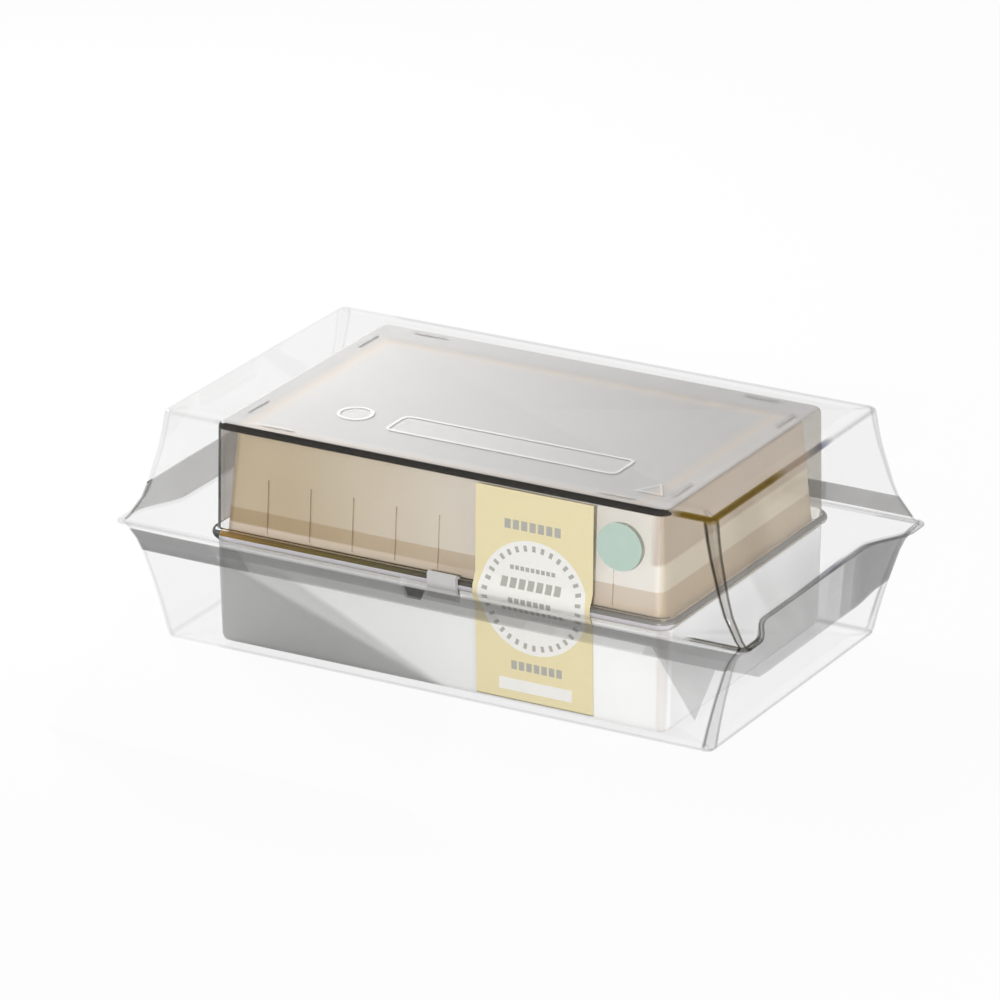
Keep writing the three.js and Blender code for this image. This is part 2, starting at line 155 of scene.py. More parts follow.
def wrap_stages(panel_z, form):
    """Levels, heights and line weights of the rings, from inside the panel out to the lip."""
    up = 1 if panel_z > weld else -1
    foot_z = weld + up * (WELD_GAP / 2 + FILM)
    height = abs(panel_z - foot_z)
    top = wrap_level(0, form)
    stages = [(grown(top, -inset * PANEL_EDGE), panel_z, 0) for inset in (3.5, 1.2)]
    for i in range(FILLET_STEPS + 1):
        turn = i / FILLET_STEPS * math.pi / 2
        inward = PANEL_EDGE * (1 - math.sin(turn))
        drop = PANEL_EDGE * (1 - math.cos(turn))
        line = max(math.sin(2 * turn) ** 2, 0.33 * math.cos(turn) ** 2)
        stages.append((grown(top, -inward), panel_z - up * drop, line))
    shares = [PANEL_EDGE / height + 0.02, 0.2, 0.35, form["end_crease"], form["side_crease"]]
    shares += [1 - (d * MM - FILM) / height for d in form["band"]]
    shares.append(1 - FILM / height)
    for u in sorted(shares):
        stages.append((wrap_level(u, form), panel_z - up * height * u, 0))
    foot = wrap_level(1, form)
    for out, line in ((0, 1), (LIP_LINE, 0), (LIP, 0.5)):
        stages.append((grown(foot, out), foot_z, line))
    return stages


def lay_wrap(bm, ring, level, z, line, tone):
    """Puts a ring of points on the wrap's outline at one height, and tints the painted lines."""
    quarter = wrap_quarter(level)
    outline = []
    for sx, sy in QUARTERS:
        points = [(sx * x, sy * y, weight) for x, y, weight in quarter]
        outline += points if sx * sy > 0 else points[::-1]
    tint = bm.verts.layers.float_color["tint"]
    for vert, (x, y, weight) in zip(ring, outline):
        vert.co = (x, y, z)
        colour, strength = tone(x, y, z)
        cover = min(strength * max(line, weight), 1)
        vert[tint] = CLEAR.lerp(Vector(linear(colour)), cover)


def verts_in(geom):
    """The vertices among the parts that a mesh operator returns."""
    return [item for item in geom if isinstance(item, bmesh.types.BMVert)]


def rise(bm, ring):
    """Extrudes an open ring once and returns the new ring in the same order."""
    edges = [bm.edges.get((a, b)) for a, b in zip(ring, ring[1:] + ring[:1])]
    fresh = set(verts_in(bmesh.ops.extrude_edge_only(bm, edges=edges)["geom"]))
    return [next(e.other_vert(v) for e in v.link_edges if e.other_vert(v) in fresh) for v in ring]


def smooth_faces(bm, limit):
    """Smooth shading; borders and edges that turn by more than limit degrees stay sharp."""
    for face in bm.faces:
        face.smooth = True
    for edge in bm.edges:
        inside = len(edge.link_faces) == 2
        edge.smooth = inside and edge.calc_face_angle() < math.radians(limit)


def finished(bm, name):
    """Turns a bmesh into an object in the scene."""
    mesh = bpy.data.meshes.new(name)
    bm.to_mesh(mesh)
    bm.free()
    made = bpy.data.objects.new(name, mesh)
    bpy.context.scene.collection.objects.link(made)
    return made


def thickened(piece, thickness, offset):
    """Gives a sheet its thickness: offset 1 grows it outwards, -1 inwards."""
    wall = piece.modifiers.new("wall", "SOLIDIFY")
    wall.thickness = thickness
    wall.offset = offset


def even_normals(piece, weight=50):
    """Shades the narrow faces at an edge by the big flat ones beside them."""
    even = piece.modifiers.new("even_normals", "WEIGHTED_NORMAL")
    even.keep_sharp = True
    even.weight = weight


def wrap_shell(name, panel_z, form, tone, painted_grey, cuts=None):
    """One shell. tone gives a painted line's colour and strength; the next, a face's painted grey.
    """
    bm = bmesh.new()
    bm.verts.layers.float_color.new("tint")
    grey = bm.faces.layers.float.new("grey")
    count = 4 * len(wrap_quarter(wrap_level(0, form)))
    ring = bmesh.ops.create_circle(bm, cap_ends=True, segments=count, radius=1)["verts"]
    for step, (level, z, line) in enumerate(wrap_stages(panel_z, form)):
        if step:
            ring = rise(bm, ring)
        lay_wrap(bm, ring, level, z, line, tone)
    bmesh.ops.recalc_face_normals(bm, faces=bm.faces)
    panel_face = max(bm.faces, key=lambda face: face.calc_area())
    if (panel_face.normal.z > 0) != (panel_z > weld):
        bmesh.ops.reverse_faces(bm, faces=bm.faces)
    if cuts:
        cuts(bm)
    for face in bm.faces:
        face[grey] = painted_grey(face.calc_center_median(), face.normal)
    smooth_faces(bm, 20)
    shell = finished(bm, name)
    thickened(shell, FILM, -1)
    even_normals(shell)
    return shell


# Colours of the painted lines, painted reflection and shade where the film turns or folds, and
# how strongly they cover. Over 1 fills a line's fringe as well.
CLEAR = Vector(linear("#fcfcfc"))
FAINT = ("#8a8a8a", 0.22)
UNSEEN = ("#8a8a8a", 0.08)
WELDED_LIP = ("#f6f6f6", 1.0)
CORNER_PAINTED_LINE = ("#7a746a", 1.0)
AMBER_PAINTED_EDGE = ("#bfb066", 3.0)
TAN_PAINTED_EDGE = ("#e3ded9", 3.0)
BLUISH_PAINTED_EDGE = ("#b6b6c0", 3.0)
SEAM_PAINTED_DARK = ("#101010", 1.0)
SEAM_PAINTED_GREY = ("#202020", 0.7)
LOWER_CORNER = ("#404040", 0.5)
LOWER_EDGE = ("#707070", 0.4)

FAR_LEFT = -60 * MM
BESIDE_CORNER = 5 * MM
LINE_REACH = 1.1 * PANEL_EDGE


def by_near_corner(x, y):
    return x > panel.x - BESIDE_CORNER and y < -panel.y + BESIDE_CORNER


def upper_tone(x, y, z):
    """The near right corner and the edges beside it get the darkest painted lines."""
    if by_near_corner(x, y) and z < upper_high.z - PANEL_EDGE:
        return CORNER_PAINTED_LINE
    if z < weld + 0.5 * MM and y < 0 and x > FAR_LEFT:
        return WELDED_LIP
    at_right_edge = x > panel.x - LINE_REACH
    at_front_edge = y < -panel.y + LINE_REACH
    if at_right_edge and y < -7 * MM or at_front_edge and x > 66 * MM:
        return AMBER_PAINTED_EDGE
    if at_right_edge and y < 7 * MM:
        return TAN_PAINTED_EDGE
    if at_right_edge and y < 16 * MM:
        return BLUISH_PAINTED_EDGE
    return FAINT if x > FAR_LEFT else UNSEEN


def upper_painted_grey(point, normal):
    """Painted grey on the left end and the back, from the crease to the weld."""
    share = (upper_high.z - point.z) / (upper_high.z - weld)
    if point.z < weld + 0.5 * MM or share < UPPER_FORM["end_crease"]:
        return 0
    # Round the near left corner the film is painted wholly grey, out to where the front wall
    # begins.
    corner_y = mix(41.8 * MM, 43.7 * MM, smoothstep(UPPER_FORM["end_crease"], 1, share))
    if point.x < 0 and point.y < -corner_y and abs(normal.x) > 0.3:
        return 1.0
    if abs(normal.x) > abs(normal.y):
        return 0.4 if point.x < 0 else 0
    above_band = point.z > weld + UPPER_FORM["band"][0] * MM
    if share > UPPER_FORM["side_crease"] and point.y > 0 and above_band:
        return 0.65
    return 0


def lower_tone(x, y, z):
    """The right end's folded seam is painted nearly black as shade, most of all near the front."""
    at_right_seam = z > weld - 1.5 * MM and x > panel.x
    if z > weld - 0.5 * MM and y < -ear.y + 2 * MM and FAR_LEFT < x < 80 * MM:
        return WELDED_LIP
    if at_right_seam and -ear.y + 2 * MM < y < -28 * MM:
        return SEAM_PAINTED_DARK
    if at_right_seam and abs(y) < ear.y - 4 * MM:
        return SEAM_PAINTED_GREY
    if by_near_corner(x, y) and z > lower_low.z + PANEL_EDGE:
        return LOWER_CORNER
    if x > panel.x - PANEL_EDGE:
        return LOWER_EDGE
    return FAINT if x > FAR_LEFT else UNSEEN


# Y and Z of the line along which the right end's grey ends, rising to the near corner.
PAINTED_GREY_FOOT = [Vector((-28, 15.1)) * MM, Vector((-46, 23.4)) * MM]

# A triangle of the front wall near the right corner is painted grey, as the reflection of a
# buckle there.
PAINTED_FACET = [Vector((62, 23.2)) * MM, Vector((77.5, 23.2)) * MM, Vector((71.3, 8)) * MM]


def in_painted_facet(point):
    place = Vector((point.x, point.z))
    sides = zip(PAINTED_FACET, PAINTED_FACET[1:] + PAINTED_FACET[:1])
    return all((b - a).cross(place - a) < 0 for a, b in sides)


def right_end_painted_grey(point):
    """Painted grey from the lip down to the foot line, thickest towards the back."""
    low, high = PAINTED_GREY_FOOT
    slope = (high.y - low.y) / (high.x - low.x)
    foot_z = low.y + slope * min(point.y - low.x, 0)
    if point.x > 0 and foot_z < point.z < weld - 0.4 * MM:
        return mix(0.25, 0.5, smoothstep(8 * MM, 28 * MM, point.y))
    return 0


def front_painted_grey(point):
    """Two painted grey bands; the lower is paler except at the left end and past the facet."""
    below = (weld - point.z) / MM
    start, middle = LOWER_FORM["band"]
    crease = (1 - LOWER_FORM["side_crease"]) * weld / MM
    to_left = smoothstep(-45 * MM, -62 * MM, point.x)
    to_right = smoothstep(10 * MM, 45 * MM, point.x)
    past_facet = smoothstep(58 * MM, 64 * MM, point.x)
    if below < start:
        return 0
    if below < middle:
        return mix(mix(0.36, 0.4, to_right), 0.5, to_left)
    if below < crease:
        return mix(mix(mix(0.24, 0.14, to_right), 0.37, past_facet), 0.48, to_left)
    return 0.18 if in_painted_facet(point) else 0


def lower_painted_grey(point, normal):
    """Painted grey on the right end and in a narrow band along the front."""
    if abs(normal.z) > 0.9:
        return 0
    if abs(normal.x) > abs(normal.y):
        return right_end_painted_grey(point)
    return front_painted_grey(point) if point.y <= 0 else 0


def cut_wall(bm, wall, point, normal):
    """Cuts some faces along a plane."""
    edges = {e for f in wall for e in f.edges}
    verts = {v for f in wall for v in f.verts}
    bmesh.ops.bisect_plane(
        bm, geom=[*wall, *edges, *verts], dist=0.001 * MM, plane_co=point, plane_no=normal,
    )


def cut_lower_walls(bm):
    """Cuts the facet's two leaning edges and the foot of the right end's grey."""
    foot = PAINTED_FACET[2]
    for high in PAINTED_FACET[:2]:
        wall = [f for f in bm.faces if f.normal.y < -0.7 and f.calc_center_median().x > 50 * MM]
        along = high - foot
        cut_wall(bm, wall, (foot.x, 0, foot.y), (-along.y, 0, along.x))
    near = [f for f in bm.faces if f.normal.x > 0.3 and f.calc_center_median().y < -20 * MM]
    along = PAINTED_GREY_FOOT[1] - PAINTED_GREY_FOOT[0]
    cut_wall(bm, near, (0, *PAINTED_GREY_FOOT[0]), (0, -along.y, along.x))


upper_film = wrap_shell("upper_film", upper_high.z, UPPER_FORM, upper_tone, upper_painted_grey)
lower_film = wrap_shell(
    "lower_film", lower_low.z, LOWER_FORM, lower_tone, lower_painted_grey, cut_lower_walls,
)


def new_material(name):
    material = bpy.data.materials.new(name)
    material.use_nodes = True
    material.node_tree.nodes.clear()
    return material


def add(owner, kind, inputs=None, **settings):
    """Adds a node. A value in inputs is a number, a colour or another node's output."""
    made = owner.node_tree.nodes.new(kind)
    for name, value in settings.items():
        setattr(made, name, value)
    for name, value in (inputs or {}).items():
        if isinstance(value, bpy.types.NodeSocket):
            owner.node_tree.links.new(value, made.inputs[name])
        else:
            made.inputs[name].default_value = value
    return made


def graded(owner, value, low, high, one, other):
    """Blends one colour into another as a value goes from low to high."""
    share = add(owner, "ShaderNodeMapRange", {"Value": value, "From Min": low, "From Max": high})
    blend = add(owner, "ShaderNodeMix", {
        0: share.outputs[0], 6: one, 7: other,
    }, data_type="RGBA")
    return blend.outputs[2]


def patchy(owner, place, size, detail, one, other):
    """Drifts between two colours in soft patches of about one size."""
    patches = add(owner, "ShaderNodeTexNoise", {
        "Vector": place.outputs["Object"], "Scale": 1 / size, "Detail": detail,
    })
    blend = add(owner, "ShaderNodeMix", {
        0: patches.outputs["Fac"], 6: linear(one), 7: linear(other),
    }, data_type="RGBA")
    return blend.outputs[2]


def glossed(owner, body, roughness, grazing, straight):
    """Ends a clear material with a gloss over its body, strongest where it is seen edge on."""
    shine = add(owner, "ShaderNodeBsdfGlossy", {
        "Roughness": roughness, "Color": linear("#ffffff"),
    })
    facing = add(owner, "ShaderNodeLayerWeight", {"Blend": 0.5})
    edge_on = add(owner, "ShaderNodeMath", {
        0: facing.outputs["Facing"], 1: 4.0,
    }, operation="POWER")
    mirror = add(owner, "ShaderNodeMath", {
        0: edge_on.outputs[0], 1: grazing, 2: straight,
    }, operation="MULTIPLY_ADD")
    surface = add(owner, "ShaderNodeMixShader", {
        0: mirror.outputs[0], 1: body.outputs[0], 2: shine.outputs[0],
    })
    add(owner, "ShaderNodeOutputMaterial", {"Surface": surface.outputs[0]})


# Clear polyester film, glossy as it comes off the mould: nearly unseen where it is flat, with a
# painted fine line where it turns and a mottled painted grey as reflection, in soft patches.
GREY_PATCH = 18.2 * MM

film = new_material("clear_polyester_film")
line_tint = add(film, "ShaderNodeAttribute", attribute_name="tint")
grey_share = add(film, "ShaderNodeAttribute", attribute_name="grey")
see_through = add(film, "ShaderNodeBsdfTransparent", {"Color": line_tint.outputs["Color"]})
film_place = add(film, "ShaderNodeTexCoord")
grey_patches = patchy(film, film_place, GREY_PATCH, 2, "#9c9c9b", "#b2b2b1")
# The lower shell's grey is the darker one.
film_point = add(film, "ShaderNodeSeparateXYZ", {0: film_place.outputs["Object"]})
painted_grey_tone = graded(
    film, film_point.outputs["Z"], weld + 0.2 * MM, weld - 0.2 * MM, grey_patches, linear("#636362"),
)
painted_grey_sheet = add(film, "ShaderNodeBsdfDiffuse", {"Color": painted_grey_tone})
film_body = add(film, "ShaderNodeMixShader", {
    0: grey_share.outputs["Fac"], 1: see_through.outputs[0], 2: painted_grey_sheet.outputs[0],
})
glossed(film, film_body, roughness=0.05, grazing=0.25, straight=0.008)

for shell, node_name in ((upper_film, "wrap_upper_shell"), (lower_film, "wrap_lower_shell")):
    shell.data.materials.append(film)
    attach(shell, "root")
    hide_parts(node_name)

# ---- rack base -------------------------------------------------------------------------------
# White polypropylene, moulded in one with the latch tongue and the two hinge lugs. A satin skin
# with a very fine spark-eroded grain.


def cad_copy(node_name, name, limit):
    """A merged copy of a CAD node, smooth across its small facets."""
    bm = bmesh.new()
    bm.from_mesh(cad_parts[node_name].data)
    bmesh.ops.remove_doubles(bm, verts=bm.verts, dist=0.002 * MM)
    smooth_faces(bm, limit)
    made = finished(bm, name)
    even_normals(made, 80)
    return made


rack_base = cad_copy("box_base", "rack_base", 40)

# Moulded polypropylene: satin, painted darker towards the left and whiter towards the right as
# painted light. Its grain of some 0.05 mm is drawn coarser, or it would be lost.
PP_GRAIN = 1.11 * MM
GRAIN_DEPTH = 0.05 * MM

white_pp = new_material("moulded_white_polypropylene")
pp_place = add(white_pp, "ShaderNodeTexCoord")
pp_grain = add(white_pp, "ShaderNodeTexNoise", {
    "Vector": pp_place.outputs["Object"], "Scale": 1 / PP_GRAIN, "Detail": 2,
})
pp_bump = add(white_pp, "ShaderNodeBump", {
    "Height": pp_grain.outputs["Fac"], "Strength": 0.06, "Distance": GRAIN_DEPTH,
})
pp_point = add(white_pp, "ShaderNodeSeparateXYZ", {0: pp_place.outputs["Object"]})
# Painted light: darker towards the left, whiter towards the right.
pp_painted_light = graded(
    white_pp, pp_point.outputs["X"], -30 * MM, 50 * MM, linear("#dcdcdb"), linear("#f6f6f5"),
)
# Where it turns into the right end the wall is painted greyer as shade; the end face is painted
# white as light.
pp_normal = add(white_pp, "ShaderNodeSeparateXYZ", {0: pp_place.outputs["Normal"]})
pp_corner_painted_shade = graded(white_pp, pp_normal.outputs["X"], 0.02, 0.25, pp_painted_light, linear("#dfdcda"))
pp_walls_painted_light = graded(white_pp, pp_normal.outputs["X"], 0.8, 0.97, pp_corner_painted_shade, linear("#fefefe"))
# The latch tongue is painted greyer than the walls it stands in front of, as painted shade.
pp_tone = graded(
    white_pp, pp_point.outputs["Y"], -41.7 * MM, -42.2 * MM, pp_walls_painted_light, linear("#c2c1c0"),
)
pp_surface = add(white_pp, "ShaderNodeBsdfPrincipled", {
    "Base Color": pp_tone, "Roughness": 0.45, "Normal": pp_bump.outputs[0],
})
add(white_pp, "ShaderNodeOutputMaterial", {"Surface": pp_surface.outputs[0]})
rack_base.data.materials.clear()
rack_base.data.materials.append(white_pp)
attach(rack_base, "root")
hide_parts("box_base")

# ---- tip carrier -----------------------------------------------------------------------------
# Peach polypropylene, thin at the foot of its skirt, which is painted darker where the base's
# collar stands behind it, as painted shade.
# It is moulded in one, with shallow grooves in its long walls, and drops into the base.

collar_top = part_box("box_base")[1].z

# Translucent polypropylene: it glows a little. It is painted darker and yellower at the left as
# shade, and paler cream at the right as a painted reflection. Its colour drifts in wide soft
# clouds.
PEACH_CLOUD = 16.7 * MM

peach_pp = new_material("peach_polypropylene")
peach_place = add(peach_pp, "ShaderNodeTexCoord")
peach_point = add(peach_pp, "ShaderNodeSeparateXYZ", {0: peach_place.outputs["Object"]})
peach_cloud = add(peach_pp, "ShaderNodeTexNoise", {
    "Vector": peach_place.outputs["Object"], "Scale": 1 / PEACH_CLOUD, "Detail": 3,
})
# Painted shade and reflection along X: darker at the left, paler at the right.
peach_painted_light = add(peach_pp, "ShaderNodeMapRange", {
    "Value": peach_point.outputs["X"], "From Min": -42 * MM, "From Max": 50 * MM,
})
peach_drift_and_light = add(peach_pp, "ShaderNodeMath", {
    0: peach_cloud.outputs["Fac"], 1: 0.16, 2: peach_painted_light.outputs[0],
}, operation="MULTIPLY_ADD")
peach_colour = add(peach_pp, "ShaderNodeMix", {
    0: peach_drift_and_light.outputs[0], 6: linear("#c8b48f"), 7: linear("#fffaf2"),
}, data_type="RGBA")
# Behind the skirt's foot the base's collar shades it.
collar_shade = add(peach_pp, "ShaderNodeMix", {
    0: peach_painted_light.outputs[0], 6: linear("#e6dac6"), 7: linear("#e6dbd0"),
}, data_type="RGBA")
peach_deep = graded(
    peach_pp, peach_point.outputs["Z"], collar_top + 0.2 * MM, collar_top,
    linear("#ffffff"), collar_shade.outputs[2],
)
peach_wall = add(peach_pp, "ShaderNodeMix", {
    0: 1.0, 6: peach_colour.outputs[2], 7: peach_deep,
}, data_type="RGBA", blend_type="MULTIPLY")
# Towards the deck the right end wall is painted a little greyer, as painted shade.
at_end = add(peach_pp, "ShaderNodeMapRange", {
    "Value": peach_point.outputs["X"], "From Min": 56 * MM, "From Max": 57.5 * MM,
})
end_painted_shade = add(peach_pp, "ShaderNodeMapRange", {
    "Value": peach_point.outputs["Z"], "From Min": 42.2 * MM, "From Max": 43 * MM,
    "To Max": at_end.outputs[0],
})
peach_end = add(peach_pp, "ShaderNodeMix", {
    0: end_painted_shade.outputs[0], 6: peach_wall.outputs[2], 7: linear("#dacbbe"),
}, data_type="RGBA")
# The skirt's foot is a rolled edge, painted lighter there as a painted highlight.
peach_all = graded(
    peach_pp, peach_point.outputs["Z"], 32.6 * MM, 32.0 * MM,
    peach_end.outputs[2], linear("#e8d7c1"),
)
peach_skin = add(peach_pp, "ShaderNodeBsdfPrincipled", {
    "Base Color": peach_all, "Roughness": 0.4,
})
peach_glow = add(peach_pp, "ShaderNodeBsdfTranslucent", {"Color": peach_all})
peach_surface = add(peach_pp, "ShaderNodeMixShader", {
    0: 0.15, 1: peach_skin.outputs[0], 2: peach_glow.outputs[0],
})
add(peach_pp, "ShaderNodeOutputMaterial", {"Surface": peach_surface.outputs[0]})
tip_rack = cad_copy("tip_carrier", "tip_rack", 40)
tip_rack.data.materials.clear()
tip_rack.data.materials.append(peach_pp)
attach(tip_rack, "root")
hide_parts("tip_carrier")

# ---- tips ------------------------------------------------------------------------------------
# 96 tips of natural polypropylene, each moulded round and hollow, with a collar that rests on the
# deck. They stand loose in twelve columns of eight.

TIP_PITCH = 9 * MM
TIP_ROWS = 8
TIP_SIDES = 14
COLLAR_HEIGHT = 2.6 * MM
TIP_CLOUD = 6.67 * MM


def tip_column(name, x, low, high):
    """One column, front to back. The profile's points are a radius in millimetres and a height."""
    foot = high - COLLAR_HEIGHT
    narrow = mix(low, foot, 0.2)
    profile = [
        (0.35, low), (0.75, low), (1.0, narrow), (2.55, foot - 0.2 * MM),
        (3.2, foot), (3.5, foot + 0.4 * MM), (3.5, high - 0.3 * MM), (3.2, high),
        (2.8, high), (2.45, high - 1.5 * MM), (0.6, narrow),
    ]
    bm = bmesh.new()
    verts = [bm.verts.new((radius * MM, 0, z)) for radius, z in profile]
    edges = [bm.edges.new(pair) for pair in zip(verts, verts[1:] + verts[:1])]
    bmesh.ops.spin(
        bm, geom=[*verts, *edges], cent=(0, 0, 0), axis=(0, 0, 1), dvec=(0, 0, 0),
        angle=math.tau, steps=TIP_SIDES, use_merge=True,
    )
    bmesh.ops.recalc_face_normals(bm, faces=bm.faces)
    smooth_faces(bm, 40)
    front_y = -(TIP_ROWS - 1) / 2 * TIP_PITCH
    bmesh.ops.translate(bm, verts=bm.verts, vec=(x, front_y, 0))
    first = bm.verts[:] + bm.edges[:] + bm.faces[:]
    for row in range(1, TIP_ROWS):
        moved = verts_in(bmesh.ops.duplicate(bm, geom=first)["geom"])
        bmesh.ops.translate(bm, verts=moved, vec=(0, row * TIP_PITCH, 0))
    return finished(bm, name)


# Unpigmented polypropylene: milky, part see-through and faintly clouded, one tip to the next.
natural_pp = new_material("natural_polypropylene")
tip_place = add(natural_pp, "ShaderNodeTexCoord")
tip_colour = patchy(natural_pp, tip_place, TIP_CLOUD, 2, "#b9bbbb", "#acafaf")
tip_skin = add(natural_pp, "ShaderNodeBsdfPrincipled", {
    "Base Color": tip_colour, "Roughness": 0.28,
})
tip_clear = add(natural_pp, "ShaderNodeBsdfTransparent", {"Color": linear("#f4f4f4")})
tip_surface = add(natural_pp, "ShaderNodeMixShader", {
    0: 0.3, 1: tip_skin.outputs[0], 2: tip_clear.outputs[0],
})
add(natural_pp, "ShaderNodeOutputMaterial", {"Surface": tip_surface.outputs[0]})
for number in range(1, 13):
    node_name = f"tip_column_{number:02d}"
    column_low, column_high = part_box(node_name)
    column = tip_column(
        f"tips_{number:02d}", (column_low.x + column_high.x) / 2, column_low.z, column_high.z,
    )
    column.data.materials.append(natural_pp)
    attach(column, "root")
    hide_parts(node_name)

# ---- rack lid --------------------------------------------------------------------------------
# Smoky clear styrene in one moulding: polished walls, a matt top with raised marks and stacking
# nubs, and a thick bead round its foot. Its dark lines and greyer walls are painted shade, and its
# white roll is a painted highlight, set by where each face is and which way it looks.

BEAD = 1.4 * MM
LID_WALL = 1.0 * MM
LID_DRAFT = 0.5 * MM
LID_CORNER = 3.5 * MM
LID_FILLET = 1.5 * MM
LID_FOOT = 27.9 * MM
NUB_HEIGHT = 0.35 * MM
CORNER_STEPS = 8
INNER_STEPS = 3
BEAD_STEPS = 8

lid_low, lid_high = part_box("box_lid")
lid_half = Vector((lid_high.x, -lid_low.y)) - Vector((BEAD, BEAD))
lid_top = lid_high.z - NUB_HEIGHT
bead_middle = LID_FOOT + BEAD
bead_top = bead_middle + BEAD


def rounded_rectangle(middle, half, radius, steps):
    """Points anticlockwise round a rectangle whose corners are arcs of so many steps."""
    points = []
    for quarter, (sx, sy) in enumerate(QUARTERS):
        for i in range(steps + 1):
            angle = (quarter + i / steps) * math.pi / 2
            points.append((
                middle[0] + sx * (half[0] - radius) + radius * math.cos(angle),
                middle[1] + sy * (half[1] - radius) + radius * math.sin(angle),
            ))
    return points


def faces_in(geom):
    """The faces among the parts that a mesh operator returns."""
    return [item for item in geom if isinstance(item, bmesh.types.BMFace)]


def raised(bm, outline, height):
    """A shape that stands on the lid's top, open where it joins the top. The outline is in mm."""
    verts = [bm.verts.new((x * MM, y * MM, lid_top)) for x, y in outline]
    face = bm.faces.new(verts)
    if face.normal.z < 0:
        face.normal_flip()
    made = bmesh.ops.extrude_face_region(bm, geom=[face])["geom"]
    bmesh.ops.translate(bm, verts=verts_in(made), vec=(0, 0, height))
    bmesh.ops.delete(bm, geom=[face], context="FACES_ONLY")
    return faces_in(made)[0]


# The finishes, painted shade and painted highlight of the lid's faces, in the order in which it
# gets its materials further down.
POLISHED, MATT, PAINTED_EDGE, MARK, NUB, PAINTED_DARK_CORNER, PAINTED_SEAT, PAINTED_END_SHADE, SIDE, BACK, PAINTED_HIGHLIGHT = range(11)


def lid_finish_and_paint(face):
    """A face's finish or painted light, from where it is and which way it looks."""
    normal = face.normal
    middle = face.calc_center_median()
    above_foot = (middle.z - LID_FOOT) / MM
    at_corner = abs(middle.x) > lid_half.x - 3 * MM and abs(middle.y) > lid_half.y - 3 * MM
    if normal.x * middle.x + normal.y * middle.y <= 0:
        return POLISHED
    if middle.z > lid_top - LID_FILLET and normal.y < -0.25:
        return PAINTED_EDGE if normal.z < 0.95 else MATT
    if middle.z > lid_top - 0.3 * MM:
        return MATT
    if middle.z < bead_top + 0.5 * MM and at_corner and middle.x * middle.y > 0:
        return PAINTED_DARK_CORNER if middle.x < 0 else BACK
    if normal.y < -0.45 and 0.3 < above_foot < 3.5:
        return PAINTED_HIGHLIGHT if above_foot < 1.5 else PAINTED_SEAT
    if normal.x > 0.35 and 1.5 < above_foot < 2.8:
        return PAINTED_SEAT
    if normal.x < -0.35 and middle.z > bead_middle:
        return PAINTED_DARK_CORNER if normal.y < -0.3 else PAINTED_END_SHADE
    if normal.y > 0.3 and middle.z > bead_top:
        return BACK
    if normal.x > 0.3 and middle.z > bead_top:
        return SIDE
    return POLISHED


# How far each ring of the moulding lies out from the foot of the walls, and its height: down the
# inside, round the bead and up the outside to the top.
lid_stages = []
for i in range(INNER_STEPS + 1):
    turn = i / INNER_STEPS * math.pi / 2
    lid_stages.append((
        -LID_DRAFT - LID_WALL - (1 - math.sin(turn)) * LID_WALL,
        lid_top - LID_WALL - (1 - math.cos(turn)) * LID_WALL,
    ))
lid_stages.append((-LID_WALL, LID_FOOT))
for i in range(BEAD_STEPS + 1):
    turn = math.radians(mix(-72, 90, i / BEAD_STEPS))
    lid_stages.append((BEAD * math.cos(turn), bead_middle + BEAD * math.sin(turn)))
lid_stages.append((-0.02 * MM, bead_top + 0.35 * MM))
for i in range(FILLET_STEPS + 1):
    turn = i / FILLET_STEPS * math.pi / 2
    lid_stages.append((
        -LID_DRAFT - (1 - math.cos(turn)) * LID_FILLET,
        lid_top - (1 - math.sin(turn)) * LID_FILLET,
    ))

lid_mesh = bmesh.new()
lid_ring = bmesh.ops.create_circle(
    lid_mesh, cap_ends=True, segments=4 * (CORNER_STEPS + 1), radius=1,
)["verts"]
for step, (out, z) in enumerate(lid_stages):
    if step:
        lid_ring = rise(lid_mesh, lid_ring)
    radius = max(LID_CORNER + out, 0.5 * MM)
    half = (lid_half.x + out, lid_half.y + out)
    for vert, (x, y) in zip(lid_ring, rounded_rectangle((0, 0), half, radius, CORNER_STEPS)):
        vert.co = (x, y, z)
lid_cap = lid_mesh.faces.new(lid_ring)
bmesh.ops.recalc_face_normals(lid_mesh, faces=lid_mesh.faces)
for face in lid_mesh.faces:
    face.material_index = lid_finish_and_paint(face)
lid_cap.material_index = MATT

# Stacking nubs, two at each corner, along the long and the short edges: places and half sizes.
NUBS = ((58.3, 26.5, 0.5, 4.7), (46.5, 37.3, 4.7, 0.5))
for x, y, half_x, half_y in NUBS:
    for at_x, at_y in QUARTERS:
        outline = [(at_x * x + sx * half_x, at_y * y + sy * half_y) for sx, sy in QUARTERS]
        raised(lid_mesh, outline, NUB_HEIGHT).material_index = NUB

# Raised marks: a bare name panel, a ring beside it and a triangle, each drawn as an outline.
MARK_HEIGHT = 0.25 * MM
MARK_FLOOR = 0.02 * MM


def outline_mark(points, line):
    """Insets a raised shape, and lowers its middle back to the top."""
    top = raised(lid_mesh, points, MARK_HEIGHT)
    for part in bmesh.ops.inset_individual(lid_mesh, faces=[top], thickness=line)["faces"]:
        part.material_index = MARK
    sunk = bmesh.ops.extrude_face_region(lid_mesh, geom=[top])["geom"]
    bmesh.ops.translate(lid_mesh, verts=verts_in(sunk), vec=(0, 0, MARK_FLOOR - MARK_HEIGHT))
    lid_mesh.faces.remove(top)
    for part in faces_in(sunk):
        part.material_index = MATT


def round_points(x, y, radius, sides):
    angles = [math.tau * (i / sides + 0.25) for i in range(sides)]
    return [(x + radius * math.cos(angle), y + radius * math.sin(angle)) for angle in angles]


outline_mark(rounded_rectangle((8.2, -20.3), (31.8, 5.5), 2, 4), 0.8 * MM)
outline_mark(round_points(-34.8, -19.6, 4.6, 24), 0.8 * MM)
outline_mark(round_points(52.5, -30.2, 4.4, 3), 0.9 * MM)

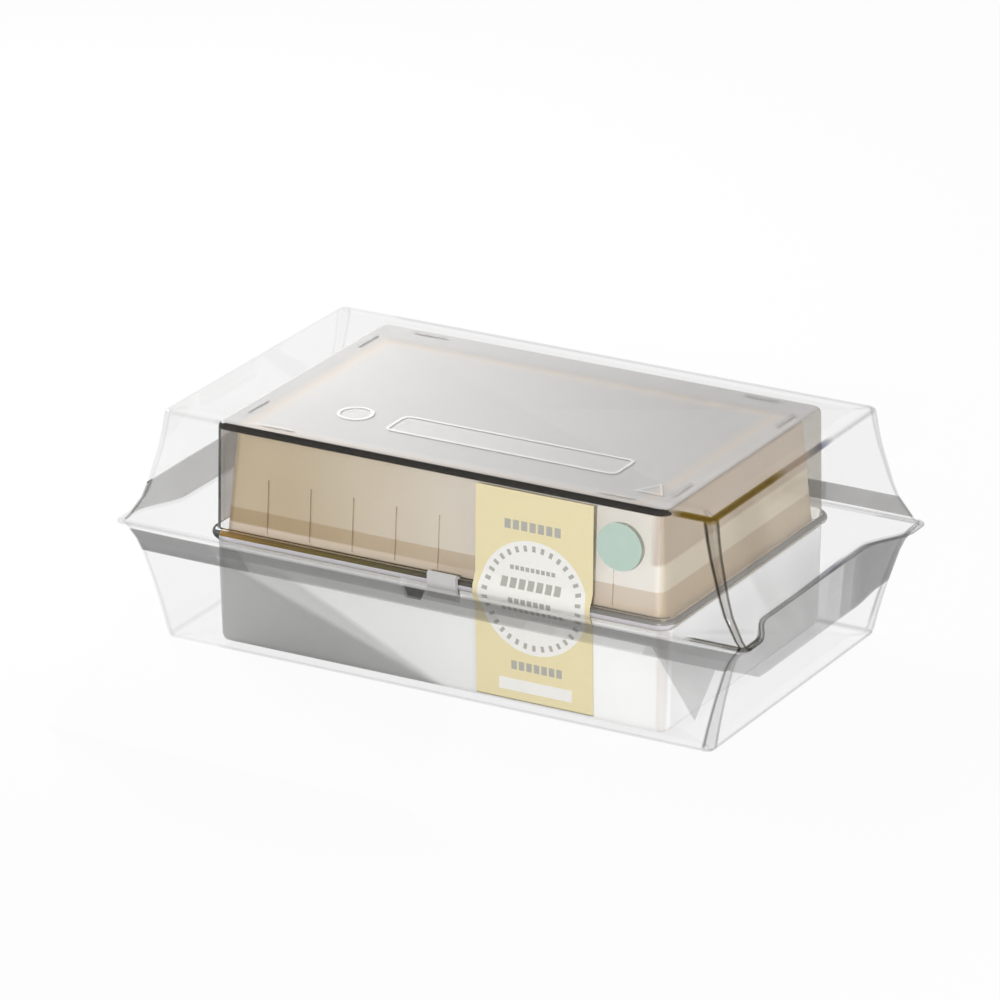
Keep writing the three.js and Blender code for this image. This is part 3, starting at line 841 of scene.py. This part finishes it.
# Two clips at the back hang from the bead and wrap the base's hinge pins. Their profile runs down
# the bore, up the outside and round three corners at the bead.
HINGE_AXIS = Vector((43.1, 26.6)) * MM
CLIP_BORE = 1.1 * MM
CLIP_OUTSIDE = 1.9 * MM
CLIP_WIDTH = 8.6 * MM
CLIP_PLACE = 36 * MM
CLIP_STEPS = 10

clip_profile = []
for radius, start, end in ((CLIP_BORE, 110, -70), (CLIP_OUTSIDE, -70, 80)):
    for i in range(CLIP_STEPS + 1):
        turn = math.radians(mix(start, end, i / CLIP_STEPS))
        clip_profile.append(HINGE_AXIS + Vector((radius * math.cos(turn), radius * math.sin(turn))))
for corner in ((-0.4, 2.7), (-1.6, 2.7), (-1.6, 1.4)):
    clip_profile.append(HINGE_AXIS + Vector(corner) * MM)
for side in (-1, 1):
    left = side * CLIP_PLACE - CLIP_WIDTH / 2
    verts = [lid_mesh.verts.new((left, point.x, point.y)) for point in clip_profile]
    clip = lid_mesh.faces.new(verts)
    pushed = verts_in(bmesh.ops.extrude_face_region(lid_mesh, geom=[clip])["geom"])
    bmesh.ops.translate(lid_mesh, verts=pushed, vec=(CLIP_WIDTH, 0, 0))
    whole = {f for v in verts + pushed for f in v.link_faces}
    bmesh.ops.recalc_face_normals(lid_mesh, faces=list(whole))
smooth_faces(lid_mesh, 35)
rack_lid = finished(lid_mesh, "rack_lid")
even_normals(rack_lid)


def polished_styrene(name, tint, body=None, share=0.0):
    """See-through styrene with a gloss. body and share give it some solid colour of its own."""
    made = new_material(name)
    inner = add(made, "ShaderNodeBsdfTransparent", {"Color": linear(tint)})
    if body:
        solid = add(made, "ShaderNodeBsdfDiffuse", {"Color": linear(body)})
        inner = add(made, "ShaderNodeMixShader", {
            0: share, 1: inner.outputs[0], 2: solid.outputs[0],
        })
    glossed(made, inner, roughness=0.08, grazing=0.35, straight=0.02)
    return made


# The mould's real spark-eroded speckle is some 0.05 mm; it is drawn coarser, or it would be lost.
SPECKLE = 0.4 * MM
SPECKLE_DEPTH = 0.03 * MM

# The middle line of the painted peach frame on the lid's top: its centre and half size on each
# axis.
FRAME_LINE = (("X", 0.0, 54.5 * MM), ("Y", -5.0 * MM, 34.0 * MM))
FRAME_FADE = 3.2 * MM


def painted_peach_glow(made, point):
    """The share of painted peach glow: most on the frame line, fading to either side."""
    past = []
    for axis, middle, reach in FRAME_LINE:
        shift = add(made, "ShaderNodeMath", {
            0: point.outputs[axis], 1: middle,
        }, operation="SUBTRACT")
        size = add(made, "ShaderNodeMath", {0: shift.outputs[0]}, operation="ABSOLUTE")
        past.append(add(made, "ShaderNodeMath", {
            0: size.outputs[0], 1: reach,
        }, operation="SUBTRACT"))
    outside = add(made, "ShaderNodeMath", {
        0: past[0].outputs[0], 1: past[1].outputs[0],
    }, operation="MAXIMUM")
    away = add(made, "ShaderNodeMath", {0: outside.outputs[0]}, operation="ABSOLUTE")
    glow = add(made, "ShaderNodeMapRange", {
        "Value": away.outputs[0], "From Max": FRAME_FADE, "To Min": 0.32, "To Max": 0.0,
    }, interpolation_type="SMOOTHSTEP")
    return glow.outputs[0]


def matt_styrene(name, light, dark, see_share):
    """Styrene from a spark-eroded mould face: the view through it is blurred and grey.

    Painted shade darkens the top along the lid, and a painted peach glow stands in for the
    carrier's peach margin seen through it, as a soft frame.
    """
    made = new_material(name)
    place = add(made, "ShaderNodeTexCoord")
    point = add(made, "ShaderNodeSeparateXYZ", {0: place.outputs["Object"]})
    # Painted shade: the top is painted darker towards the right and the back.
    lean = add(made, "ShaderNodeMath", {
        0: point.outputs["Y"], 1: 0.9, 2: point.outputs["X"],
    }, operation="MULTIPLY_ADD")
    grey = graded(made, lean.outputs[0], -45 * MM, 60 * MM, linear(light), linear(dark))
    smoke = add(made, "ShaderNodeMix", {
        0: painted_peach_glow(made, point), 6: grey, 7: linear("#ffe4c4"),
    }, data_type="RGBA")
    # Past the frame, at the left and the back, nothing stands close under the top; it is painted
    # greyer there as shade.
    past_left = add(made, "ShaderNodeMapRange", {
        "Value": point.outputs["X"], "From Min": -53.5 * MM, "From Max": -56.5 * MM,
    })
    past_back = add(made, "ShaderNodeMapRange", {
        "Value": point.outputs["Y"], "From Min": 28 * MM, "From Max": 31 * MM,
    })
    margin = add(made, "ShaderNodeMath", {
        0: past_left.outputs[0], 1: past_back.outputs[0],
    }, operation="MAXIMUM")
    rimmed = add(made, "ShaderNodeMix", {
        0: margin.outputs[0], 6: smoke.outputs[2], 7: linear("#e3e3e3"),
    }, data_type="RGBA", blend_type="MULTIPLY")
    speckle = add(made, "ShaderNodeTexNoise", {
        "Vector": place.outputs["Object"], "Scale": 1 / SPECKLE, "Detail": 1,
    })
    bump = add(made, "ShaderNodeBump", {
        "Height": speckle.outputs["Fac"], "Strength": 0.1, "Distance": SPECKLE_DEPTH,
    })
    skin = add(made, "ShaderNodeBsdfPrincipled", {
        "Base Color": rimmed.outputs[2], "Roughness": 0.5, "Normal": bump.outputs[0],
    })
    clear = add(made, "ShaderNodeBsdfTransparent", {"Color": linear("#e8e8e8")})
    blurred = add(made, "ShaderNodeBsdfRefraction", {
        "Color": linear("#f4f4f4"), "Roughness": 0.5, "IOR": 1.1,
    })
    through = add(made, "ShaderNodeMixShader", {
        0: 0.6, 1: clear.outputs[0], 2: blurred.outputs[0],
    })
    surface = add(made, "ShaderNodeMixShader", {
        0: see_share, 1: skin.outputs[0], 2: through.outputs[0],
    })
    add(made, "ShaderNodeOutputMaterial", {"Surface": surface.outputs[0]})
    return made


# Where the bead runs into the front wall a dark line is painted, as shade under the bead and the
# peach bent through it: amber at the left end and grey at the right.
painted_amber_seat = new_material("smoky_styrene_painted_amber_line")
seat_place = add(painted_amber_seat, "ShaderNodeTexCoord")
seat_point = add(painted_amber_seat, "ShaderNodeSeparateXYZ", {0: seat_place.outputs["Object"]})
seat_along = add(painted_amber_seat, "ShaderNodeMapRange", {
    "Value": seat_point.outputs["X"], "From Min": -62 * MM, "From Max": 62 * MM,
})
seat_tint = add(painted_amber_seat, "ShaderNodeValToRGB", {0: seat_along.outputs[0]})
seat_stops = seat_tint.color_ramp.elements
seat_stops[0].color = linear("#96702a")
seat_stops[1].color = linear("#8d8b86")
for place_along, colour in ((0.12, "#6e560c"), (0.35, "#544a10"), (0.55, "#46423a")):
    seat_stops.new(place_along).color = linear(colour)
seat_skin = add(painted_amber_seat, "ShaderNodeBsdfPrincipled", {
    "Base Color": seat_tint.outputs[0], "Roughness": 0.25,
})
seat_clear = add(painted_amber_seat, "ShaderNodeBsdfTransparent", {"Color": seat_tint.outputs[0]})
seat_fade = add(painted_amber_seat, "ShaderNodeMapRange", {
    "Value": seat_point.outputs["Z"], "From Min": LID_FOOT + 2.2 * MM, "To Min": 0.15,
    "From Max": LID_FOOT + 3.4 * MM, "To Max": 0.6,
})
seat_surface = add(painted_amber_seat, "ShaderNodeMixShader", {
    0: seat_fade.outputs[0], 1: seat_skin.outputs[0], 2: seat_clear.outputs[0],
})
add(painted_amber_seat, "ShaderNodeOutputMaterial", {"Surface": seat_surface.outputs[0]})

lid_materials = (
    # The walls: clear, with hardly any smoke in one thickness.
    polished_styrene("smoky_styrene_polished", "#fdfdfd"),
    # The top: matt grey, with the tips showing through as a blur.
    matt_styrene("smoky_styrene_matt", "#f3f2f1", "#d4d1cf", 0.38),
    # The top's front edge: a painted dark line, as shade where the sheet is seen edge on.
    polished_styrene("smoky_styrene_painted_edge", "#4c4840", "#26221a", 0.5),
    # The raised marks, paler than the top.
    matt_styrene("smoky_styrene_raised", "#f6f5f4", "#e4e2e0", 0.15),
    # The stacking nubs, darker than the top.
    matt_styrene("smoky_styrene_nub", "#d4d3d2", "#aaa8a7", 0.2),
    # The near left corner: painted dark grey, as shade where the wall is thickest to look through.
    polished_styrene("smoky_styrene_painted_dark_corner", "#7c7f80", "#3a3d3e", 0.6),
    # The painted dark line where the bead meets the front and right walls.
    painted_amber_seat,
    # The left end wall: painted mid grey, as shade.
    polished_styrene("smoky_styrene_painted_end_shade", "#c2bfbc", "#a09c98", 0.3),
    # The right end wall: clear with a trace of cream.
    polished_styrene("smoky_styrene_side", "#f4f0e6", "#d3cecd", 0.12),
    # The back wall, tinted greyer than the other walls, and the far right corner of the bead,
    # painted grey as shade.
    polished_styrene("smoky_styrene_back", "#bcbab7"),
    # The lower half of the front bead: a painted highlight, nearly white, where it rolls over to
    # the light.
    polished_styrene("smoky_styrene_painted_highlight", "#f6f6f8", "#eeecf4", 0.6),
)
for material in lid_materials:
    rack_lid.data.materials.append(material)
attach(rack_lid, "root")
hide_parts("box_lid")

# ---- front label -----------------------------------------------------------------------------
# Pale yellow coated paper, glued up the base, over the bead and up the lid, so it seals the lid.
# It lifts off the walls a little above and below the bead. What is printed on it is plain: a
# white disc with a ring of dashes, and bars where lines of print would be.

PAPER = 0.12 * MM
INK = 0.02 * MM
LIFT = 3.4 * MM
CREST = 0.6 * MM
BASE_DRAFT = 0.6 * MM
LABEL_SHEET = 0.25 * MM
BEND_STEP = 0.4 * MM

label_low, label_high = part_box("front_label")
label_wall = -label_low.y - BEAD - LABEL_SHEET


def label_y(z):
    """The front of the wall that the paper follows, with the bulge over the bead."""
    rise_on_base = smoothstep(bead_middle - BEAD - LIFT, bead_middle - CREST, z)
    fall_on_lid = 1 - smoothstep(bead_middle + CREST, bead_middle + BEAD + LIFT, z)
    bulge = BEAD * min(rise_on_base, fall_on_lid)
    if z < bead_middle:
        lean = BASE_DRAFT * (bead_middle - z) / bead_middle
    else:
        lean = LID_DRAFT * (z - bead_middle) / (lid_top - bead_middle)
    return -(label_wall + bulge - lean)


def press_on_label(bm, lift):
    """Cuts flat shapes in X and Z at short steps and lays them on the label."""
    z = label_low.z
    while z < label_high.z:
        everything = [*bm.verts, *bm.edges, *bm.faces]
        bmesh.ops.bisect_plane(bm, geom=everything, plane_co=(0, 0, z), plane_no=(0, 0, 1))
        z += BEND_STEP
    for vert in bm.verts:
        vert.co.y = label_y(vert.co.z) - lift
    for face in bm.faces:
        if face.normal.y > 0:
            face.normal_flip()
    smooth_faces(bm, 35)


def flat_shape(bm, points):
    """A face from points in X and Z, in millimetres."""
    verts = [bm.verts.new((x * MM, 0, z * MM)) for x, z in points]
    bm.faces.new(verts)


def bar_points(left, right, z, height, turn=0.0, middle=(0, 0)):
    """A bar's corners, turned about the origin and then moved by middle."""
    low, high = z - height / 2, z + height / 2
    corners = [(left, low), (right, low), (right, high), (left, high)]
    c, s = math.cos(turn), math.sin(turn)
    return [(middle[0] + x * c - z * s, middle[1] + x * s + z * c) for x, z in corners]


def mottled(name, size, detail, one, other, roughness):
    """Printed or plain paper: a satin skin, patchy in two close tones."""
    made = new_material(name)
    place = add(made, "ShaderNodeTexCoord")
    skin = add(made, "ShaderNodeBsdfPrincipled", {
        "Base Color": patchy(made, place, size, detail, one, other), "Roughness": roughness,
    })
    add(made, "ShaderNodeOutputMaterial", {"Surface": skin.outputs[0]})
    return made


label_mesh = bmesh.new()
flat_shape(label_mesh, [
    (label_low.x / MM, label_low.z / MM), (label_high.x / MM, label_low.z / MM),
    (label_high.x / MM, label_high.z / MM), (label_low.x / MM, label_high.z / MM),
])
press_on_label(label_mesh, 0)
label_sheet = finished(label_mesh, "label_sheet")
thickened(label_sheet, PAPER, 1)

DISC = (26.8, 29.4)
DISC_RADIUS = 14.6
white_mesh = bmesh.new()
flat_shape(white_mesh, round_points(*DISC, DISC_RADIUS, 48))
flat_shape(white_mesh, bar_points(17.2, 37.0, 6.25, 3.1))
press_on_label(white_mesh, PAPER + INK)
white_print = finished(white_mesh, "label_white_print")

# The ring of dashes, then each line of print: its ends, height on the label, size and bars.
RING_RADIUS = 12.7
RING_MARKS = 34
PRINT_LINES = (
    (18.8, 34.6, 47.4, 2.4, 7),
    (20.4, 33.0, 36.6, 1.1, 9),
    (18.2, 35.0, 32.8, 2.3, 7),
    (20.6, 32.6, 28.6, 1.5, 7),
    (18.4, 35.4, 26.0, 1.1, 11),
    (20.6, 34.9, 11.4, 2.2, 7),
)
BAR_SHARE = 0.72

ink_mesh = bmesh.new()
for i in range(RING_MARKS):
    turn = math.tau * i / RING_MARKS
    middle = (DISC[0] + RING_RADIUS * math.sin(turn), DISC[1] + RING_RADIUS * math.cos(turn))
    flat_shape(ink_mesh, bar_points(-0.45, 0.45, 0, 1.5, -turn, middle))
for start, end, z, height, bars in PRINT_LINES:
    pitch = (end - start) / bars
    for i in range(bars):
        left = start + i * pitch
        flat_shape(ink_mesh, bar_points(left, left + BAR_SHARE * pitch, z, height))
press_on_label(ink_mesh, PAPER + 2 * INK)
grey_print = finished(ink_mesh, "label_grey_print")

# Coated paper, smooth and a little warm. Its fibres are finer than 0.1 mm, so what is drawn is
# how they bunch. The white ink covers it well and is thick enough to be slightly uneven. The
# thermal print is a soft grey, drawn coarser than its real dots of 0.1 mm.
label_sheet.data.materials.append(
    mottled("coated_label_paper", 1.43 * MM, 4, "#e6dab2", "#e0d3a6", 0.4),
)
white_print.data.materials.append(
    mottled("white_screen_ink", 1.11 * MM, 2, "#efeeea", "#e6e5e0", 0.4),
)
grey_print.data.materials.append(
    mottled("grey_thermal_print", 0.625 * MM, 1, "#b4b2a8", "#a09f9b", 0.45),
)
for piece in (label_sheet, white_print, grey_print):
    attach(piece, "root")
    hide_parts("front_label")

# ---- sterility dot ---------------------------------------------------------------------------
# A round paper sticker on the lid's front wall, die cut and glued on flat.
# Its printed green turns grey in the steriliser.

dot_low, dot_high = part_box("indicator_dot")
dot_middle = Vector(((dot_low.x + dot_high.x) / 2, (dot_low.z + dot_high.z) / 2))
dot_mesh = bmesh.new()
bmesh.ops.create_circle(dot_mesh, cap_ends=True, segments=64, radius=(dot_high.x - dot_low.x) / 2)
bmesh.ops.inset_region(dot_mesh, faces=dot_mesh.faces[:], thickness=0.5 * MM, use_boundary=True)
bmesh.ops.rotate(
    dot_mesh, verts=dot_mesh.verts, cent=(0, 0, 0), matrix=Matrix.Rotation(math.pi / 2, 3, "X"),
)
bmesh.ops.translate(dot_mesh, verts=dot_mesh.verts, vec=(dot_middle.x, dot_low.y, dot_middle.y))
wall_lean = LID_DRAFT / (lid_top - bead_middle)
for vert in dot_mesh.verts:
    vert.co.y += wall_lean * (vert.co.z - dot_low.z)
smooth_faces(dot_mesh, 35)
dot = finished(dot_mesh, "sterility_dot")
thickened(dot, PAPER, -1)

# Paper with a pale green indicator ink, matt and slightly patchy.
dot.data.materials.append(
    mottled("printed_dot_paper", 2 * MM, 4, "#b9ccc1", "#acc1b5", 0.5),
)
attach(dot, "root")
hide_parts("indicator_dot")

# ---- studio ----------------------------------------------------------------------------------
# A floor of white paper that runs off into a white surround, a hard key light at the front, and
# a soft box at each end. Two cards hold part of the key light off the pack's left.

# Seen directly the paper is nearly white all over; below that it takes shadows like any paper.
paper_floor = new_material("white_studio_paper")
floor_paper = add(paper_floor, "ShaderNodeBsdfDiffuse", {"Color": linear("#c4c4c4")})
floor_white = add(paper_floor, "ShaderNodeEmission", {"Color": linear("#ffffff"), "Strength": 1.0})
floor_path = add(paper_floor, "ShaderNodeLightPath")
floor_direct = add(paper_floor, "ShaderNodeMath", {
    0: floor_path.outputs["Is Camera Ray"], 1: floor_path.outputs["Is Glossy Ray"],
}, operation="MAXIMUM")
floor_seen = add(paper_floor, "ShaderNodeMath", {
    0: floor_direct.outputs[0], 1: floor_path.outputs["Is Transmission Ray"],
}, operation="MAXIMUM")
floor_share = add(paper_floor, "ShaderNodeMath", {
    0: floor_seen.outputs[0], 1: 0.95,
}, operation="MULTIPLY")
floor_surface = add(paper_floor, "ShaderNodeMixShader", {
    0: floor_share.outputs[0], 1: floor_paper.outputs[0], 2: floor_white.outputs[0],
})
add(paper_floor, "ShaderNodeOutputMaterial", {"Surface": floor_surface.outputs[0]})
floor_mesh = bmesh.new()
bmesh.ops.create_grid(floor_mesh, x_segments=1, y_segments=1, size=6)
floor = finished(floor_mesh, "studio_floor")
floor.data.materials.append(paper_floor)

# The surround is pure white to the eye and in reflections, and lights the pack much less.
world = bpy.data.worlds.new("studio")
bpy.context.scene.world = world
world.use_nodes = True
world.node_tree.nodes.clear()
world_path = add(world, "ShaderNodeLightPath")
world_seen = add(world, "ShaderNodeMath", {
    0: world_path.outputs["Is Camera Ray"], 1: world_path.outputs["Is Glossy Ray"],
}, operation="MAXIMUM")
world_light = add(world, "ShaderNodeMapRange", {
    "Value": world_seen.outputs[0], "To Min": 0.37, "To Max": 1.0,
})
sky = add(world, "ShaderNodeBackground", {
    "Color": linear("#ffffff"), "Strength": world_light.outputs[0],
})
add(world, "ShaderNodeOutputWorld", {"Surface": sky.outputs[0]})


def softbox(name, place, size, watts, aim):
    """A square soft light that looks at a point."""
    lamp = bpy.data.lights.new(name, "AREA")
    lamp.shape = "RECTANGLE"
    lamp.size = size
    lamp.size_y = size
    lamp.energy = watts
    made = bpy.data.objects.new(name, lamp)
    made.location = place
    made.rotation_euler = (Vector(aim) - Vector(place)).to_track_quat("-Z", "Y").to_euler()
    made.visible_camera = False
    bpy.context.scene.collection.objects.link(made)


softbox("left_softbox", (-0.40, 0.16, 0.30), 0.2, 4.0, (0, 0, 0.058))
softbox("right_softbox", (0.36, -0.12, 0.10), 0.2, 0.56, (0.06, -0.02, 0.03))

# The direction that the key light comes from.
KEY = Vector((0.2764, -0.9042, 0.3256))
key_lamp = bpy.data.lights.new("key", "SUN")
key_lamp.energy = 2.1
key_lamp.angle = math.radians(1.5)
key = bpy.data.objects.new("key", key_lamp)
key.rotation_euler = (-KEY).to_track_quat("-Z", "Y").to_euler()
bpy.context.scene.collection.objects.link(key)

BASE_FRONT = -41.5 * MM
CARD_AWAY = 70 * MM


def card(name, points, share):
    """Holds part of the key light off. Its points are X and Z of its shadow on the base's front."""
    throw = CARD_AWAY * KEY
    bm = bmesh.new()
    verts = [bm.verts.new(Vector((x * MM, BASE_FRONT, z * MM)) + throw) for x, z in points]
    bm.faces.new(verts)
    made = finished(bm, name)
    net = new_material(name + "_net")
    hole = add(net, "ShaderNodeBsdfTransparent", {"Color": (share, share, share, 1)})
    add(net, "ShaderNodeOutputMaterial", {"Surface": hole.outputs[0]})
    made.data.materials.append(net)
    made.visible_camera = False
    made.visible_glossy = False
    made.visible_diffuse = False
    made.visible_transmission = False


card("near_flag", [(-90, 23), (-60.6, 23), (2.3, 1), (8, -1), (8, -30), (-90, -30)], 0.14)
card("far_flag", [(-90, 23), (-43, 23), (3.7, 0.8), (8, -1.3), (8, -30), (-90, -30)], 0.52)

# A long lens from far off, turned to the right front corner and a little down.
TARGET = Vector((0, 0, 29.36)) * MM
AZIMUTH = math.radians(29.07)
ELEVATION = math.radians(21.34)
DISTANCE = 1785.9 * MM
back = Vector((
    math.sin(AZIMUTH) * math.cos(ELEVATION),
    -math.cos(AZIMUTH) * math.cos(ELEVATION),
    math.sin(ELEVATION),
))
camera_data = bpy.data.cameras.new("camera")
camera_data.lens = 263.86
camera_data.sensor_width = 36
camera_data.shift_x = -0.0206
camera_data.shift_y = 0.0235
camera_data.clip_start = 0.05
camera_data.clip_end = 50
camera = bpy.data.objects.new("camera", camera_data)
camera.location = TARGET + back * DISTANCE
camera.rotation_euler = back.to_track_quat("Z", "Y").to_euler()
bpy.context.scene.collection.objects.link(camera)
bpy.context.scene.camera = camera
bpy.context.scene.view_settings.view_transform = "Standard"
bpy.context.scene.cycles.transparent_max_bounces = 48
